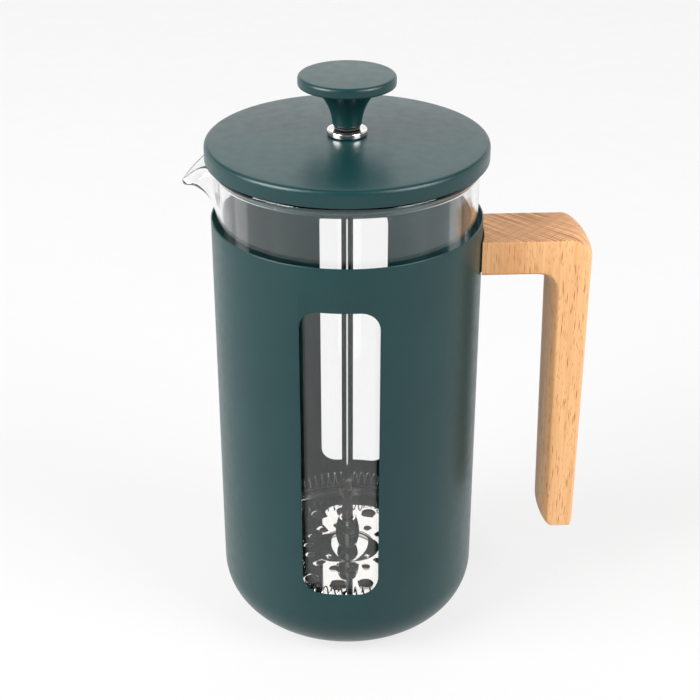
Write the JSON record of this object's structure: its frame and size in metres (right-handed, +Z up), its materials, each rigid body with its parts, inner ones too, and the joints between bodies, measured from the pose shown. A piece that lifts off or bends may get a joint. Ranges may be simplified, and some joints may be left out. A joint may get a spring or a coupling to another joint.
{
  "type": "french press",
  "caption": "Tall cylindrical coffee press: windowed metal sleeve with a wooden side handle, lift-out glass beaker with a spout, flat lid, and a plunger with a knob and a spring-edged filter.",
  "frame": {"origin": "centre of the rest face under the foot pad, on the axis of the sleeve", "axes": "+Z up along the axis of the plunger, the two windows face -Y and +Y, -X towards the spout, +X towards the handle, whose arm is turned 6 degrees from +X towards +Y"},
  "size_m": [0.1524, 0.103, 0.222],
  "materials": {
    "teal_paint": "fine matt powder coat, dark blue-green",
    "dark_rubber": "matt",
    "beech": "oiled beech with short dark flecks along the grain",
    "brushed_steel": "satin",
    "polished_steel": "mirror polished stainless steel",
    "woven_steel": "fine woven wire",
    "brass": "plain",
    "clear_glass": "clear borosilicate glass"
  },
  "bodies": {
    "sleeve_body": {"sleeve": "teal_paint", "foot_pad": "dark_rubber", "glass_cushion": "dark_rubber", "handle": "beech", "handle_gasket": "dark_rubber", "handle_screw_1": "brushed_steel", "handle_screw_2": "brushed_steel", "handle_insert_1": "brass", "handle_insert_2": "brass"},
    "beaker_body": {"beaker": "clear_glass"},
    "lid_body": {"lid_cover": "teal_paint", "lid_liner": "teal_paint", "lid_collar": "polished_steel", "lid_nut": "brushed_steel"},
    "plunger_body": {"knob": "teal_paint", "knob_bumper": "dark_rubber", "plunger_rod": "polished_steel", "filter_hub": "polished_steel", "spiral_plate": "polished_steel", "filter_spring": "polished_steel", "mesh_screen": "woven_steel", "cross_plate": "brushed_steel", "cap_nut": "brushed_steel"}
  },
  "joints": [
    {"name": "beaker_lift", "type": "slide", "parent": "sleeve_body", "child": "beaker_body", "axis": [0, 0, 1], "range_m": [0, 0.175]},
    {"name": "lid_lift", "type": "slide", "parent": "beaker_body", "child": "lid_body", "axis": [0, 0, 1], "range_m": [0, 0.19]},
    {"name": "plunger_slide", "type": "slide", "parent": "lid_body", "child": "plunger_body", "axis": [0, 0, 1], "range_m": [0, 0.154]}
  ]
}
